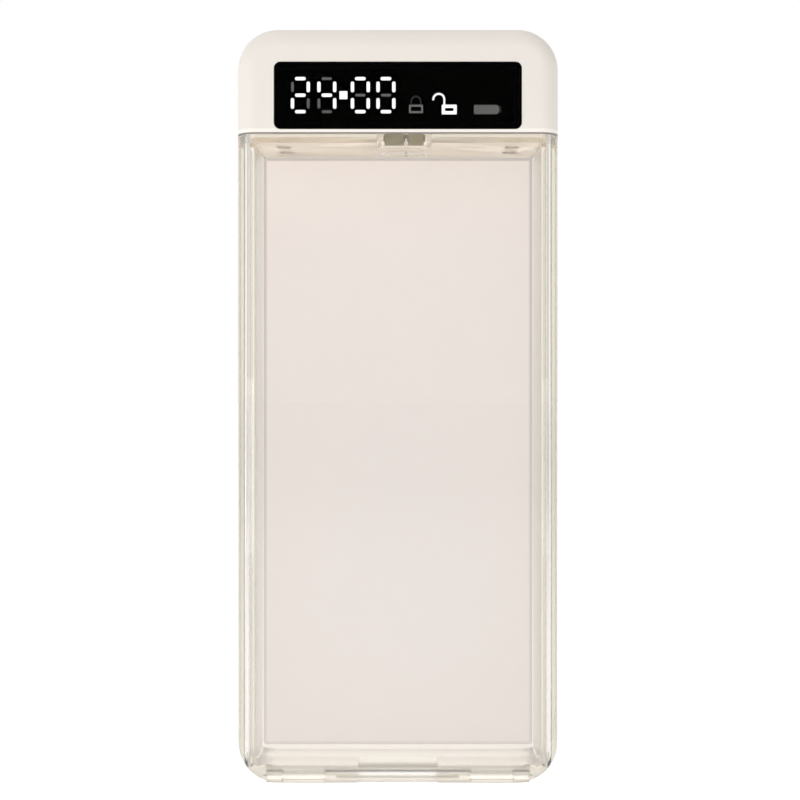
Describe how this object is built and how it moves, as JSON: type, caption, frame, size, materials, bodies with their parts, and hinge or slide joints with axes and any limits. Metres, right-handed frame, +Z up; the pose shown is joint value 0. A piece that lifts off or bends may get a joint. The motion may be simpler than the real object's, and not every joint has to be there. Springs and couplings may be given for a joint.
{
  "type": "timed lock container",
  "caption": "Clear phone lock box with a bottom-hinged clear lid and a head holding a timer display, three top buttons, charging socket and motor-driven bolt.",
  "frame": {"origin": "middle of the box's footprint, on the plane it stands on", "axes": "+Z up along the box, -Y towards the lid and the display, +X to the viewer's right, where the charging socket is"},
  "size_m": [0.0908, 0.032, 0.2135],
  "materials": {
    "clear_plastic": "clear, polished",
    "shell_plastic": "fine moulded texture, warm white",
    "floor_plastic": "moulded, beige",
    "liner_felt": "soft short-pile felt, pale pinkish grey",
    "window_plastic": "smoked, polished",
    "mask_plastic": "black",
    "diffuser_plastic": "milky",
    "led_plastic": "light-emitting chips",
    "board_laminate": "solder-masked laminate",
    "chip_plastic": "black moulding",
    "plated_metal": "bright plated",
    "screw_steel": "zinc plated",
    "screw_nylon": "natural nylon",
    "pin_steel": "ground",
    "pin_plastic": "white acetal",
    "cell_foil": "foil pouch",
    "foam_tape": "foam",
    "bolt_plastic": "warm grey acetal",
    "gear_plastic": "white acetal",
    "frame_plastic": "glass-filled nylon",
    "motor_steel": "drawn can",
    "magnet_metal": "nickel plated",
    "button_plastic": "fine moulded texture, warm white",
    "switch_plastic": "black moulding",
    "plunger_plastic": "natural acetal"
  },
  "bodies": {
    "housing": {"clear_tray": "clear_plastic", "liner_pad": "liner_felt", "head_front_shell": "shell_plastic", "head_rear_shell": "shell_plastic", "head_floor": "floor_plastic", "case_screws": "screw_steel", "tray_screws": "screw_nylon", "tray_washers": "screw_steel", "display_window": "window_plastic", "light_mask": "mask_plastic", "display_diffuser": "diffuser_plastic", "display_leds": "led_plastic", "main_board": "board_laminate", "board_screws": "screw_steel", "controller_chip": "chip_plastic", "charger_chip": "chip_plastic", "bolt_sensor": "chip_plastic", "buzzer": "chip_plastic", "charging_port": "plated_metal", "battery_cell": "cell_foil", "battery_tape": "foam_tape", "button_board": "board_laminate", "button_board_screws": "screw_steel", "lock_frame": "frame_plastic", "frame_screws": "screw_steel", "gear_axle": "pin_steel", "lock_motor": "motor_steel", "motor_screws": "screw_steel", "hour_button_switch": "switch_plastic", "minute_button_switch": "switch_plastic", "lock_button_switch": "switch_plastic"},
    "lid": {"clear_lid": "clear_plastic", "hinge_pin_left": "pin_plastic", "hinge_pin_right": "pin_plastic"},
    "bolt": {"lock_bolt": "bolt_plastic", "bolt_magnet": "magnet_metal"},
    "gear": {"double_gear": "gear_plastic"},
    "rotor": {"motor_pinion": "plated_metal", "motor_shaft": "pin_steel"},
    "hour_button": {"hour_button_cap": "button_plastic", "hour_button_plunger": "plunger_plastic"},
    "minute_button": {"minute_button_cap": "button_plastic", "minute_button_plunger": "plunger_plastic"},
    "lock_button": {"lock_button_cap": "button_plastic", "lock_button_plunger": "plunger_plastic"}
  },
  "joints": [
    {"name": "lid_hinge", "type": "hinge", "parent": "housing", "child": "lid", "pos_m": [0, -0.0142, 0.0026], "axis": [1, 0, 0], "range_deg": [0, 88]},
    {"name": "bolt_slide", "type": "slide", "parent": "housing", "child": "bolt", "axis": [0, 0, -1], "range_m": [0, 0.003]},
    {"name": "gear_spin", "type": "hinge", "parent": "housing", "child": "gear", "pos_m": [0.00825, -0.004, 0.1965], "axis": [0, -1, 0], "range_deg": [0, 58]},
    {"name": "rotor_spin", "type": "hinge", "parent": "housing", "child": "rotor", "pos_m": [0.01775, -0.004, 0.1965], "axis": [0, 1, 0], "range_deg": [0, 161]},
    {"name": "hour_button_press", "type": "slide", "parent": "housing", "child": "hour_button", "axis": [0, 0, -1], "range_m": [0, 0.0005], "stiffness_N_per_m": 2500},
    {"name": "minute_button_press", "type": "slide", "parent": "housing", "child": "minute_button", "axis": [0, 0, -1], "range_m": [0, 0.0005], "stiffness_N_per_m": 2500},
    {"name": "lock_button_press", "type": "slide", "parent": "housing", "child": "lock_button", "axis": [0, 0, -1], "range_m": [0, 0.0005], "stiffness_N_per_m": 2500}
  ],
  "couplings": [
    {"joint": "gear_spin", "follows": "bolt_slide", "rad_per_m": 333.33},
    {"joint": "rotor_spin", "follows": "bolt_slide", "rad_per_m": 933.33}
  ]
}
